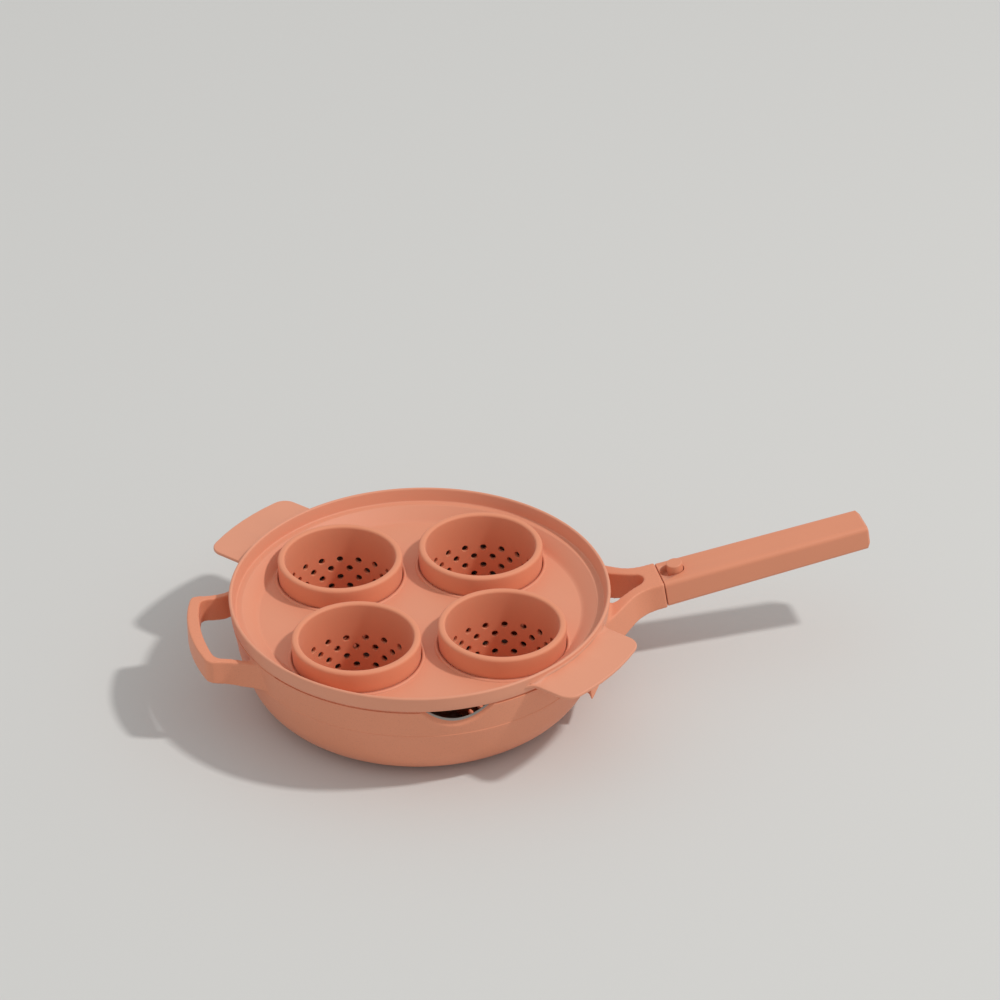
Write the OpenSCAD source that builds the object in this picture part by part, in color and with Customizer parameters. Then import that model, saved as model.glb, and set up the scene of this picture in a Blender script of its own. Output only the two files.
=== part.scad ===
// Egg poacher pan. A cast pan with a long handle, a helper loop and two pouring notches carries
// a drop-in tray with two flat ears, and four perforated cups hang in the tray.
// The origin is the centre of the base on the table, +Z is up and +X runs along the long handle.

/* [Pan] */
// Outer radius of the pan at its rim
pan_rim_r = 134; // [128:0.5:142]
// Height of the pan's rim above the table
pan_h = 68; // [62:0.5:76]
// Thickness of the cast wall
pan_wall = 4; // [3:0.1:5]
// Thickness of the cast floor
pan_floor = 5; // [4:0.1:6]
// Lean of the upper wall from upright, in degrees
upper_lean = 10; // [7:0.5:12]
// Lean of the lower wall from upright, in degrees
lower_lean = 14; // [12:0.5:16]
// Height of the crease where the two leans meet
crease_z = 45; // [38:0.5:52]
// Outer radius of the bend between wall and floor
bend_r = 33; // [26:0.5:38]
// Radius on the edges of the rim
rim_edge_r = 1.2; // [0.6:0.1:1.6]

/* [Pouring notches] */
// Radius of the scoop that makes a notch
notch_scoop_r = 46; // [40:1:60]
// Depth of the notch at the inside of the wall
notch_depth = 9.9; // [6:0.1:11]
// Fall of the notch outwards, in degrees
notch_fall = 57; // [40:1:62]

/* [Base disc] */
// Width of the flat ring that the casting keeps round the disc
disc_margin = 7; // [3:0.5:14]
// Thickness of the disc
disc_t = 1.6; // [1:0.1:2.5]
// How far the disc stands proud of the casting
disc_proud = 0.4; // [0.2:0.1:0.8]
// Number of rings pressed into the disc
disc_rings = 4; // [2:1:6]

/* [Helper loop] */
// How far the loop stands out from the pan's rim
loop_out = 31.2; // [26:0.2:38]
// Half of the loop's width at its bar
loop_half_w = 42.2; // [38:0.2:48]
// Width of the loop's bar seen from above
loop_bar = 8.8; // [7:0.1:11]
// Width of the loop's arms seen from above
loop_arm = 5.2; // [4.4:0.1:8]
// How far the outside of the bar bows outwards
loop_bow = 7.6; // [4:0.5:10]
// How far the inside of the bar bows outwards
loop_inner_bow = 5; // [2:0.5:8]
// Radius on which the arms flare towards the wall
loop_flare_r = 40; // [30:1:80]
// Rise of the loop's top outwards, in degrees
loop_rise = 6.6; // [0:0.2:10]
// Height of the loop's bar
loop_h = 17.3; // [14:0.1:22]
// Height that the loop's arms gain towards the wall
loop_gain = 2.5; // [0:0.1:6]
// Drop of the loop's top below the pan's rim where it leaves the wall
loop_drop = 2; // [0.5:0.1:5]
// Radius on the loop's corners
loop_corner_r = 7; // [5:0.5:12]
// Fillet where the loop's arms meet the wall
loop_fillet_r = 4; // [2:0.5:10]

/* [Long handle] */
// Distance from the pan's rim to the joint between neck and grip
neck_out = 41.4; // [36:0.2:50]
// Drop of the top of that joint below the pan's rim
neck_drop = 1.8; // [0.4:0.2:6]
// Rise of the handle, in degrees
handle_rise = 9.6; // [6:0.2:12]
// Length of the grip
grip_len = 154.4; // [140:0.2:175]
// Width of the grip at the joint
grip_w = 29.6; // [26:0.1:32]
// Width of the grip at its end
grip_end_w = 27.5; // [24:0.1:32]
// Height of the grip at the joint
grip_h = 21; // [18:0.5:26]
// Height of the grip at its end
grip_end_h = 19; // [16:0.5:24]
// Radius on the grip's long edges
grip_edge_r = 3.4; // [2:0.1:5]
// Bevel round the grip's end
grip_end_bevel = 2.2; // [1:0.1:3.5]
// Thickness of a neck arm seen from above
arm_t = 9; // [7:0.1:12]
// Spread of the neck arms from the handle's line, in degrees
arm_spread = 41; // [35:1:48]
// Height that the arms gain from the joint to their inner ends
arm_gain = 10.5; // [4:0.5:12]
// Fillet where the arms meet the wall
arm_fillet_r = 7; // [3:0.5:12]

/* [Utensil peg] */
// Radius of the peg on the grip
peg_r = 5.8; // [4:0.1:7]
// Height of the peg above the grip
peg_proud = 5.8; // [3:0.1:8]
// Distance from the joint to the peg's axis
peg_x = 12; // [11:0.5:16]
// Depth of the recess round the peg
recess_depth = 4.4; // [4:0.1:6]
// Width of the recess
recess_w = 13.4; // [12:0.1:16]

/* [Tang and screw] */
// Length of the tang inside the grip
tang_len = 62; // [40:1:80]
// Width of the tang
tang_w = 13; // [10:0.5:16]
// Height of the tang
tang_h = 7; // [5:0.5:8]
// Clearance between tang and grip
tang_gap = 0.3; // [0.2:0.05:0.5]
// Radial gap between the screw and its pilot hole
thread_gap = 0.1; // [0.05:0.01:0.2]
// Radius of the grip screw
screw_r = 2; // [1.5:0.1:2.5]
// Radius of the screw's head
screw_head_r = 3.8; // [3:0.1:5]
// Distance from the joint to the screw
screw_x = 42; // [30:1:55]

/* [Tray] */
// How far the tray's rim stands out past the pan's rim
tray_over = 1; // [0:0.1:2]
// Height of the tray's wall above the pan's rim
tray_wall_h = 12; // [9:0.5:16]
// Thickness of the tray's wall at the rim
tray_wall = 2.6; // [2:0.1:3.5]
// Thickness of the tray's sheet elsewhere
tray_t = 2.4; // [1.8:0.1:3]
// Height of the tray's ledge above the pan's rim
ledge_h = 2.1; // [1.8:0.1:4]
// Width of the ledge
ledge_w = 5.9; // [5:0.1:8]
// Depth of the tray's floor below the pan's rim
tray_sink = 6.5; // [5:0.1:9]
// Width of the sloped band between ledge and floor
basin_w = 11.1; // [9:0.1:13]
// Clearance between the tray's step and the pan's wall
tray_gap = 1; // [0.5:0.1:2]

/* [Tray ears] */
// How far the ears stand out from the tray's rim
ear_out = 29.9; // [22:0.1:40]
// Half of an ear's width
ear_half_w = 42.6; // [34:0.2:50]
// Thickness of an ear
ear_t = 2.6; // [2:0.1:4.5]
// Drop of an ear's top below the tray's rim
ear_drop = 5.4; // [4:0.2:8]
// Radius on an ear's free corners
ear_corner_r = 11; // [6:0.5:14]
// Radius where an ear sweeps into the rim
ear_sweep_r = 10; // [6:1:18]

/* [Cups] */
// Direction of the first cup, in degrees from the long handle
cup_angle = 41.25; // [35:0.25:50]
// Gap between the lips of two cups
cup_gap = 12.25; // [10:0.05:16]
// Gap between a cup's lip and the ledge, seen from above
cup_edge_gap = 7.5; // [6.5:0.1:10]
// Width of a cup's lip
cup_lip_w = 5.2; // [4:0.1:6]
// Drop of a cup's lip below the tray's rim
cup_drop = 1.5; // [0:0.1:4]
// Depth of a cup outside
cup_depth = 60; // [56:0.5:62]
// Thickness of a cup's lower wall and floor
cup_t = 2.6; // [2:0.1:3.5]
// Inward draft of a cup's walls over their height
cup_draft = 1.4; // [0.5:0.1:2]
// Width of the shoulder that rests in the tray
shoulder_w = 2.4; // [1.5:0.1:3]
// Depth of the seat below the tray's floor
seat_sink = 2; // [1:0.1:3]
// Clearance round the cup in its seat
seat_gap = 0.5; // [0.3:0.05:0.8]
// Height of the raised collar round each seat
collar_h = 1.2; // [0.6:0.1:2]
// Width of that collar
collar_w = 2.6; // [2:0.1:4]

/* [Perforations] */
// Radius of a hole in a cup
hole_r = 2.4; // [1.5:0.05:2.6]
// Holes in each row round a cup
holes_per_row = 18; // [12:1:20]
// Number of rows in the wall
hole_rows = 4; // [2:1:4]
// Depth of the first row below the lip
first_row = 28; // [25:0.5:30]
// Distance between rows
row_pitch = 7.6; // [6:0.1:7.8]
// Turn of each cup's holes from its own outward line, in degrees
hole_turns = [13.8, 10, 9.8, 4]; // [0:0.2:20]
// Distance between the rings of holes in the floor
floor_pitch = 9; // [7:0.5:10]
// Number of rings of holes in the floor
floor_rings = 2; // [1:1:3]

/* [Hidden] */
$fn = 96;

coat = [0.86, 0.58, 0.48];
steel = [0.72, 0.72, 0.72];

// points along an arc, from angle a0 to a1, in n steps
function arc(c, r, a0, a1, n) =
    [for (i = [0:n]) let(a = a0 + (a1 - a0) * i / n) [c[0] + r * cos(a), c[1] + r * sin(a)]];

// the pan's outer wall: two leaning lines that meet in the crease
crease_r = pan_rim_r - (pan_h - crease_z) * tan(upper_lean);
function wall_r(z) = z > crease_z ? pan_rim_r - (pan_h - z) * tan(upper_lean)
                                  : crease_r - (crease_z - z) * tan(lower_lean);
// centre radius of a bend that touches a floor at height z0 and the lower wall set in by t
function bend_centre_r(r, z0, t) =
    crease_r + ((z0 + r - crease_z) * sin(lower_lean) - r - t) / cos(lower_lean);

casting_z = disc_proud;
disc_r = bend_centre_r(bend_r, casting_z, 0) - disc_margin;
inner_floor_z = casting_z + pan_floor;
inner_bend_r = bend_r - pan_wall;
inner_rim_r = pan_rim_r - pan_wall / cos(upper_lean);
bend_steps = 20;
edge_steps = 5;

// the outline between axis and wall, set in by t, with its bend and its rim edge
function pan_side(t, z0, r) =
    let(c = [bend_centre_r(r, z0, t), z0 + r])
    concat([[0, z0]], arc(c, r, -90, -lower_lean, bend_steps),
           [[crease_r - t / cos((upper_lean + lower_lean) / 2), crease_z]]);

module pan_bowl() {
    difference() {
        rotate_extrude()
            polygon(concat(
                pan_side(0, casting_z, bend_r),
                arc([wall_r(pan_h - rim_edge_r) - rim_edge_r, pan_h - rim_edge_r], rim_edge_r,
                    -upper_lean, 90, edge_steps),
                [[0, pan_h]]));
        rotate_extrude()
            polygon(concat(
                pan_side(pan_wall, inner_floor_z, inner_bend_r),
                [[inner_rim_r - rim_edge_r * tan(upper_lean), pan_h - rim_edge_r]],
                arc([inner_rim_r + rim_edge_r, pan_h - rim_edge_r], rim_edge_r, 180, 90, edge_steps),
                [[inner_rim_r + rim_edge_r, pan_h + 1], [0, pan_h + 1]]));
    }
}

// one scooped notch on each side of the rim, falling outwards
module notches() {
    for (side = [-90, 90])
        rotate([0, 0, side])
            translate([inner_rim_r - notch_depth * tan(upper_lean), 0, pan_h - notch_depth])
                rotate([0, 90 + notch_fall, 0])
                    translate([-notch_scoop_r, 0, 0])
                        cylinder(r = notch_scoop_r, h = 8 * pan_wall, center = true, $fn = 128);
}

// places its children in the handle's frame: origin on top of the joint, x out along the grip
joint_x = pan_rim_r + neck_out;
joint_z = pan_h - neck_drop;
module handle_frame() {
    translate([joint_x, 0, joint_z])
        rotate([0, -handle_rise, 0])
            children();
}

// outline of the neck seen from above, with the opening between its arms
neck_bend_r = 28;
neck_straight = 8;
arm_run = 66;
neck_end_y = grip_w / 2 + neck_bend_r * (1 - cos(arm_spread)) + arm_run * sin(arm_spread);
neck_end_x = -neck_straight - neck_bend_r * sin(arm_spread) - arm_run * cos(arm_spread);
opening_end_x = -10.4;
opening_end_r = 6;
// the inner sides of the arms: a short run from the round end, then alongside the outer edge
opening_knee = [-22.6, 9.3];
function arm_inner_y(x) =
    grip_w / 2 + neck_bend_r * (1 - cos(arm_spread)) - arm_t / cos(arm_spread)
    - (x + neck_straight + neck_bend_r * sin(arm_spread)) * tan(arm_spread);

function neck_edge() = concat(
    [[0, grip_w / 2]],
    [for (p = arc([-neck_straight, grip_w / 2 + neck_bend_r], neck_bend_r, -90, -90 - arm_spread, 10)) p],
    [[neck_end_x, neck_end_y]]);

module mirrored_y() {
    children();
    mirror([0, 1, 0]) children();
}

// seen square to the handle's slope, with fillets where the arms meet the wall
neck_wall_r = wall_r((joint_z + pan_h) / 2 - grip_h);
module neck_plan() {
    offset(r = -arm_fillet_r)
        offset(delta = arm_fillet_r) {
            translate([-joint_x / cos(handle_rise), 0])
                scale([1 / cos(handle_rise), 1])
                    circle(r = neck_wall_r);
            difference() {
                mirrored_y()
                    polygon(concat(neck_edge(), [[neck_end_x, 0], [0, 0]]));
                neck_opening();
            }
        }
}

// a drop shape: a round end, then sides that open out along the arms
module neck_opening() {
    far_x = 1.2 * neck_end_x;
    offset(r = 1.5)
        offset(delta = -1.5)
            mirrored_y()
                polygon(concat(
                    [[opening_end_x, 0]],
                    arc([opening_end_x - opening_end_r, 0], opening_end_r, 15, 75, 6),
                    [opening_knee, [-33, arm_inner_y(-33)], [far_x, arm_inner_y(far_x)], [far_x, 0]]));
}

// side view of the neck: flat on top, deeper towards the wall
module neck_side() {
    polygon(concat(
        [[0, 0], [0, -grip_h]],
        [for (i = [1:10]) let(u = i / 10) [neck_end_x * u, -grip_h - arm_gain * u * u]],
        [[neck_end_x, 0]]));
}

module neck() {
    difference() {
        handle_frame()
            intersection() {
                translate([0, 0, -2 * grip_h])
                    linear_extrude(height = 2 * grip_h)
                        neck_plan();
                rotate([90, 0, 0])
                    linear_extrude(height = 3 * neck_end_y, center = true)
                        neck_side();
            }
        bowl_room();
    }
}

// the room inside the bowl's wall, kept clear of what is cast on from outside
module bowl_room() {
    rotate_extrude()
        polygon(concat(
            pan_side(pan_wall / 2, inner_floor_z, inner_bend_r),
            [[inner_rim_r + pan_wall / 2, pan_h], [inner_rim_r + pan_wall / 2, pan_h + tray_wall_h],
             [0, pan_h + tray_wall_h]]));
}

// the tang that the grip slides over
module tang() {
    handle_frame()
        translate([-neck_straight / 2, -tang_w / 2, -(grip_h + tang_h) / 2 - 1])
            cube([tang_len + neck_straight / 2, tang_w, tang_h]);
}

// the loop seen from above: a bowed bar between two arms that flare towards the wall
loop_reach = pan_rim_r + loop_out;
loop_in_w = loop_half_w - loop_arm;
loop_flare_x = 15;
function flare(x) = pow(max(0, x - loop_flare_x), 2) / (2 * loop_flare_r);
module loop_outline(half_w, set_in, bow) {
    bow_steps = 8;
    flare_end = loop_out + 6 * pan_wall;
    offset(r = loop_corner_r)
        offset(delta = -loop_corner_r)
            mirrored_y()
                polygon(concat(
                    [for (i = [0:bow_steps]) let(u = i / bow_steps)
                        [set_in + bow * u * u - loop_reach, half_w * u]],
                    [for (x = [loop_flare_x:4:flare_end]) [x - loop_reach, half_w + flare(x)]],
                    [[flare_end - loop_reach, 0]]));
}

module loop_plan() {
    offset(r = -loop_fillet_r)
        offset(delta = loop_fillet_r) {
            circle(r = loop_root_r);
            difference() {
                loop_outline(loop_half_w, 0, loop_bow);
                loop_outline(loop_in_w, loop_bar, loop_inner_bow);
            }
        }
}

// the loop seen from the side: its top rises outwards, and it grows deeper towards the wall
loop_root_z = pan_h - loop_drop;
loop_top = loop_root_z + loop_out * tan(loop_rise);
loop_root_h = loop_h + loop_gain;
loop_root_r = wall_r(loop_root_z - loop_root_h);
module loop_side() {
    polygon([[-loop_reach, loop_top], [-loop_reach, loop_top - loop_h],
             [-pan_rim_r, loop_root_z - loop_root_h], [0, loop_root_z - loop_root_h],
             [0, loop_root_z], [-pan_rim_r, loop_root_z]]);
}

module helper_loop() {
    difference() {
        intersection() {
            translate([0, 0, loop_root_z - 2 * loop_root_h])
                linear_extrude(height = 3 * loop_root_h)
                    loop_plan();
            rotate([90, 0, 0])
                linear_extrude(height = 4 * loop_half_w, center = true)
                    loop_side();
        }
        bowl_room();
        // only the side away from the long handle
        translate([-loop_in_w, -2 * pan_rim_r, -1])
            cube([2 * pan_rim_r, 4 * pan_rim_r, 2 * pan_h]);
    }
}

module pan_casting() {
    color(coat)
        difference() {
            union() {
                pan_bowl();
                helper_loop();
                neck();
                tang();
            }
            notches();
            // recess for the steel disc
            translate([0, 0, -1])
                cylinder(r = disc_r, h = 1 + disc_t);
            // pilot hole for the grip screw
            handle_frame()
                translate([screw_x, 0, -(grip_h + tang_h) / 2 - 2])
                    cylinder(r = screw_r, h = tang_h + 2, $fn = 32);
        }
}

// half the width and the depth of a ring pressed into the disc
ring_w = 1;
ring_depth = 0.3;
module base_disc() {
    ring_step = disc_r / (disc_rings + 1);
    color(steel)
        difference() {
            cylinder(r = disc_r, h = disc_t);
            for (k = [1:disc_rings])
                rotate_extrude()
                    translate([k * ring_step, 0])
                        polygon([[-ring_w, -1], [ring_w, -1], [ring_w, 0], [ring_w / 2, ring_depth],
                                 [-ring_w / 2, ring_depth], [-ring_w, 0]]);
        }
}

// height and width of the grip at distance x from the joint
function grip_half_w(x) = (grip_w + (grip_end_w - grip_w) * x / grip_len) / 2;
function grip_depth(x) = grip_h + (grip_end_h - grip_h) * x / grip_len;

// one rounded section of the grip, set in by s all round
module grip_section(x, s) {
    translate([x, 0, 0])
        rotate([90, 0, 90])
            linear_extrude(height = 0.01)
                translate([-grip_half_w(x) + s, -grip_depth(x) + s])
                    offset(r = grip_edge_r, $fn = 32)
                        translate([grip_edge_r, grip_edge_r])
                            square([2 * (grip_half_w(x) - s - grip_edge_r),
                                    grip_depth(x) - 2 * s - 2 * grip_edge_r]);
}

joint_gap = 0.3;
grip_edge_soft = 0.5;
module grip_body() {
    hull() {
        grip_section(joint_gap, grip_edge_soft);
        grip_section(joint_gap + grip_edge_soft, 0);
        grip_section(grip_len - grip_end_bevel, 0);
        grip_section(grip_len, grip_end_bevel);
    }
}

// the recess round the peg: two round ends and the slot between them
recess_start = 0.8;
recess_near_x = recess_start + recess_w / 2;
module peg_recess() {
    translate([0, 0, -recess_depth]) {
        for (x = [recess_near_x, peg_x])
            translate([x, 0])
                cylinder(r = recess_w / 2, h = 2 * recess_depth);
        translate([recess_near_x, -recess_w / 2])
            cube([peg_x - recess_near_x, recess_w, 2 * recess_depth]);
    }
}

module grip() {
    color(coat)
        handle_frame() {
            difference() {
                grip_body();
                peg_recess();
                // socket for the tang
                translate([-1, -tang_w / 2 - tang_gap, -(grip_h + tang_h) / 2 - 1 - tang_gap])
                    cube([tang_len + 1 + tang_gap, tang_w + 2 * tang_gap, tang_h + 2 * tang_gap]);
                // stepped hole for the screw, from below
                translate([screw_x, 0, -grip_h - 1]) {
                    cylinder(r = screw_r + tang_gap, h = grip_h / 2, $fn = 32);
                    cylinder(r = screw_head_r + tang_gap, $fn = 48,
                             h = screw_seat + 1 + grip_h - grip_depth(screw_x));
                }
            }
            peg();
        }
}

// the peg stands on the recess's floor and is rooted a little below it
peg_edge = 0.8;
peg_root = 0.5;
module peg() {
    translate([peg_x, 0, 0])
        rotate_extrude()
            polygon(concat([[0, -recess_depth - peg_root], [peg_r, -recess_depth - peg_root]],
                           arc([peg_r - peg_edge, peg_proud - peg_edge], peg_edge, 0, 90, edge_steps),
                           [[0, peg_proud]]));
}

// the screw's head sits this deep in the grip, and its shank ends inside the tang
screw_seat = 3;
screw_head_h = 2.2;
screw_shank = 7;
slot_w = 1;
slot_depth = 1.2;
module grip_screw() {
    color(steel)
        handle_frame()
            translate([screw_x, 0, -grip_depth(screw_x) + screw_seat])
                difference() {
                    union() {
                        translate([0, 0, -screw_head_h])
                            cylinder(r = screw_head_r, h = screw_head_h, $fn = 48);
                        cylinder(r = screw_r - thread_gap, h = screw_shank, $fn = 32);
                    }
                    // cross slot
                    for (a = [0, 90])
                        rotate([0, 0, a])
                            translate([-screw_r, -slot_w / 2, -screw_head_h - 1])
                                cube([2 * screw_r, slot_w, slot_depth + 1]);
                }
}

// heights and radii of the tray, from the pan's rim
tray_rim_r = pan_rim_r + tray_over;
tray_top = pan_h + tray_wall_h;
ledge_z = pan_h + ledge_h;
tray_floor_z = pan_h - tray_sink;
tray_foot_r = pan_rim_r;
step_r = inner_rim_r - tray_gap;
step_h = 2.4;
step_edge = 1;
rim_foot_edge = 0.8;
wall_lean = 1.7;
wall_foot_r = tray_rim_r - tray_wall - wall_lean;
ledge_in_r = wall_foot_r - ledge_w;
tray_floor_r = ledge_in_r - basin_w;
basin_foot = [tray_floor_r + 4.9, tray_floor_z + 3];
basin_lean = atan2(ledge_z - basin_foot[1], ledge_in_r - basin_foot[0]);
ledge_fillet = 1.2;
ledge_edge = 1.4;

// points along a curve that leaves a and reaches c in the directions of b
function curve(a, b, c, n) =
    [for (i = [0:n]) let(u = i / n) (1 - u) * (1 - u) * a + 2 * u * (1 - u) * b + u * u * c];

// the fillet between the tray's floor and its leaning basin wall, set out by t
function basin_fillet(t) =
    let(foot = basin_foot + t * [sin(basin_lean), -cos(basin_lean)], level = tray_floor_z - t)
    curve([tray_floor_r, level], [foot[0] - (foot[1] - level) / tan(basin_lean), level], foot, 6);

module tray_shell() {
    rotate_extrude()
        polygon(concat(
            // underside, from the axis outwards
            [[0, tray_floor_z - tray_t]],
            basin_fillet(tray_t),
            [[step_r - step_edge, pan_h - step_h], [step_r, pan_h - step_h + step_edge],
             [step_r, pan_h], [tray_foot_r - rim_foot_edge, pan_h], [tray_foot_r, pan_h + rim_foot_edge]],
            // rim
            arc([tray_rim_r - tray_wall / 2, tray_top - tray_wall / 2], tray_wall / 2, 0, 180, 8),
            // inner wall, ledge and basin
            arc([wall_foot_r - ledge_fillet, ledge_z + ledge_fillet], ledge_fillet, 0, -90, 4),
            arc([ledge_in_r + ledge_edge, ledge_z - ledge_edge], ledge_edge, 90, 90 + basin_lean, 4),
            [for (k = [6:-1:0]) basin_fillet(0)[k]],
            [[0, tray_floor_z]]));
}

// four equal cups side by side in the ledge's circle; the tray is drawn with the first on X
cup_lip_r = (sqrt(2) * (ledge_in_r - cup_edge_gap) - cup_gap) / (2 + sqrt(2));
cup_in_r = cup_lip_r - cup_lip_w;
cup_centre_r = ledge_in_r - cup_edge_gap - cup_lip_r;
module at_cups() {
    for (k = [0:3])
        rotate([0, 0, 90 * k])
            translate([cup_centre_r, 0, 0])
                children();
}

// the seat that a cup's shoulder rests on
seat_z = tray_floor_z - seat_sink;
cup_z = tray_top - cup_drop;
band_h = cup_z - seat_z;
band_r = cup_lip_r - cup_draft * band_h / cup_depth;
seat_r = cup_lip_r - cup_draft * (band_h - seat_sink) / cup_depth + seat_gap;
drop_hole_r = band_r - shoulder_w + seat_gap;
collar_r = seat_r + collar_w;

module collars() {
    at_cups()
        rotate_extrude()
            polygon(concat([[0, seat_z - tray_t], [collar_r, seat_z - tray_t]],
                           arc([collar_r - collar_h, tray_floor_z], collar_h, 0, 90, edge_steps),
                           [[0, tray_floor_z + collar_h]]));
}

// an ear seen from above, along x
ear_reach = tray_rim_r + ear_out;
module ear_plan() {
    difference() {
        offset(r = -ear_sweep_r)
            offset(delta = ear_sweep_r) {
                circle(r = tray_rim_r - tray_wall / 4);
                offset(r = ear_corner_r)
                    offset(delta = -ear_corner_r)
                        intersection() {
                            circle(r = ear_reach);
                            translate([0, -ear_half_w])
                                square([ear_reach, 2 * ear_half_w]);
                        }
            }
        circle(r = tray_rim_r - tray_wall / 2);
    }
}

// the ears stand in line with the second and the fourth cup
module ears() {
    for (turn = [90, 270])
        rotate([0, 0, turn])
            translate([0, 0, tray_top - ear_drop - ear_t])
                linear_extrude(height = ear_t)
                    intersection() {
                        ear_plan();
                        translate([0, -ear_reach / 2])
                            square(ear_reach);
                    }
}

module poacher_tray() {
    color(coat)
        rotate([0, 0, cup_angle])
            difference() {
                union() {
                    tray_shell();
                    collars();
                    ears();
                }
                at_cups() {
                    translate([0, 0, seat_z])
                        cylinder(r = seat_r, h = tray_wall_h + tray_sink);
                    translate([0, 0, seat_z - tray_t - 1])
                        cylinder(r = drop_hole_r, h = tray_t + 2);
                }
            }
}

// the cup in its own frame: its axis on Z and its lip's top at height 0
body_r = band_r - shoulder_w;
cup_foot_r = body_r - cup_draft / 2;
cup_corner = 5;
band_edge = 0.6;
lip_out = 2.2;
lip_in = 1.8;
cup_wall_in = cup_foot_r - cup_t;

module cup_shell() {
    rotate_extrude()
        polygon(concat(
            [[0, -cup_depth]],
            arc([cup_foot_r - cup_corner, -cup_depth + cup_corner], cup_corner, -90, 0, 8),
            [[body_r, -band_h], [band_r - band_edge, -band_h], [band_r, -band_h + band_edge]],
            arc([cup_lip_r - lip_out, -lip_out], lip_out, 0, 90, 7),
            arc([cup_in_r + lip_in, -lip_in], lip_in, 90, 180, 6),
            arc([cup_wall_in - cup_corner + cup_t, -cup_depth + cup_corner], cup_corner - cup_t,
                0, -90, 7),
            [[0, -cup_depth + cup_t]]));
}

// rows of holes round the wall, each row turned half a step, and rings of holes in the floor
module perforations(turn) {
    hole_step = 360 / holes_per_row;
    for (row = [0:hole_rows - 1], k = [0:holes_per_row - 1])
        rotate([0, 0, turn + (k + row / 2) * hole_step])
            translate([cup_wall_in - 2 * cup_t, 0, -first_row - row * row_pitch])
                rotate([0, 90, 0])
                    cylinder(r = hole_r, h = 6 * cup_t, $fn = 24);
    for (ring = [0:floor_rings], k = [0:max(0, 6 * ring - 1)])
        rotate([0, 0, turn + 60 * k / max(1, ring)])
            translate([ring * floor_pitch, 0, -cup_depth - 1])
                cylinder(r = hole_r, h = cup_t + 2, $fn = 24);
}

module cup(k) {
    color(coat)
        rotate([0, 0, cup_angle + 90 * k])
            translate([cup_centre_r, 0, cup_z])
                difference() {
                    cup_shell();
                    perforations(hole_turns[k]);
                }
}

pan_casting();
base_disc();
grip();
grip_screw();
poacher_tray();
cup(0);  // cup_1
cup(1);  // cup_2
cup(2);  // cup_3
cup(3);  // cup_4
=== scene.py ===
# %% [markdown]
# # An egg poacher pan
#
# A cast pan in a matte terracotta coat carries a moulded tray, and four perforated cups hang in it.
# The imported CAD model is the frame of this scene. It says how big each piece is and which body moves it.
# Every piece made below stands on it, in metres, with +Z up and +X along the long handle.

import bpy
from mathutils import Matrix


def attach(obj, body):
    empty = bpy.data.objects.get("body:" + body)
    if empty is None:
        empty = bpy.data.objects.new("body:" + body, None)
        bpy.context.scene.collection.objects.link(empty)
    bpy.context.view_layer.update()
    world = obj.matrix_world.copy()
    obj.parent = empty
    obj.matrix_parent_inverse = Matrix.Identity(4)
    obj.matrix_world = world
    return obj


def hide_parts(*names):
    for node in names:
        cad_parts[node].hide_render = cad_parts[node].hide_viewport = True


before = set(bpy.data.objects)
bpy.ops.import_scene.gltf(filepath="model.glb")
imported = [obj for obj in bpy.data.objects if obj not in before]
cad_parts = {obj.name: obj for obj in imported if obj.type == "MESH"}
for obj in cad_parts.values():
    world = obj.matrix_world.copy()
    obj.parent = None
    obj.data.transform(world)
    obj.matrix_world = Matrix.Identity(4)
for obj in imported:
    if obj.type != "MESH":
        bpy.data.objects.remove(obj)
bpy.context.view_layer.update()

# %% Blender's own modules
import math

import bmesh
import bpy
from mathutils import Matrix, Vector

MM = 0.001
scene = bpy.context.scene

# %% [markdown]
# ## The camera
#
# The camera was fitted to the rim, the four cup mouths and the handle in the photograph.
# It looks down by 32 degrees from well away, so the lens is long and the ellipses stay calm.

# %% The camera
CAMERA_AT = Vector((-330.8, -1762.8, 1274.9)) * MM
LOOK_AT = Vector((80.67, 101.08, 80.0)) * MM
CAMERA_ROLL = math.radians(-0.236)

camera_data = bpy.data.cameras.new("camera")
camera_data.sensor_fit = "HORIZONTAL"
camera_data.sensor_width = 36
camera_data.lens = 109.65
camera_data.clip_end = 30
camera = bpy.data.objects.new("camera", camera_data)
camera.location = CAMERA_AT
facing = (LOOK_AT - CAMERA_AT).to_track_quat("-Z", "Y").to_matrix()
camera.rotation_euler = (facing @ Matrix.Rotation(CAMERA_ROLL, 3, "Z")).to_euler()
scene.collection.objects.link(camera)
scene.camera = camera
print("camera distance:", round((LOOK_AT - CAMERA_AT).length, 3), "m")

# %% [markdown]
# ## Shader maths in plain expressions
#
# A material is a graph of nodes. A small class wraps one output socket, so that `1 - mask` or
# `grain * 0.1` adds the Math node by itself. Every other node comes from the one method `node`.

# %% A socket that does arithmetic
class Amount:
    """One number on its way through a material's nodes."""

    def __init__(self, finish, socket):
        self.finish, self.socket = finish, socket

    def do(self, operation, *values):
        return self.finish.node("ShaderNodeMath", {"operation": operation}, dict(enumerate(values)))

    def __add__(self, other):
        return self.do("ADD", self, other)

    def __mul__(self, other):
        return self.do("MULTIPLY", self, other)

    def __sub__(self, other):
        return self.do("SUBTRACT", self, other)

    def __rsub__(self, other):
        return self.do("SUBTRACT", other, self)

    __radd__, __rmul__ = __add__, __mul__


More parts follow.
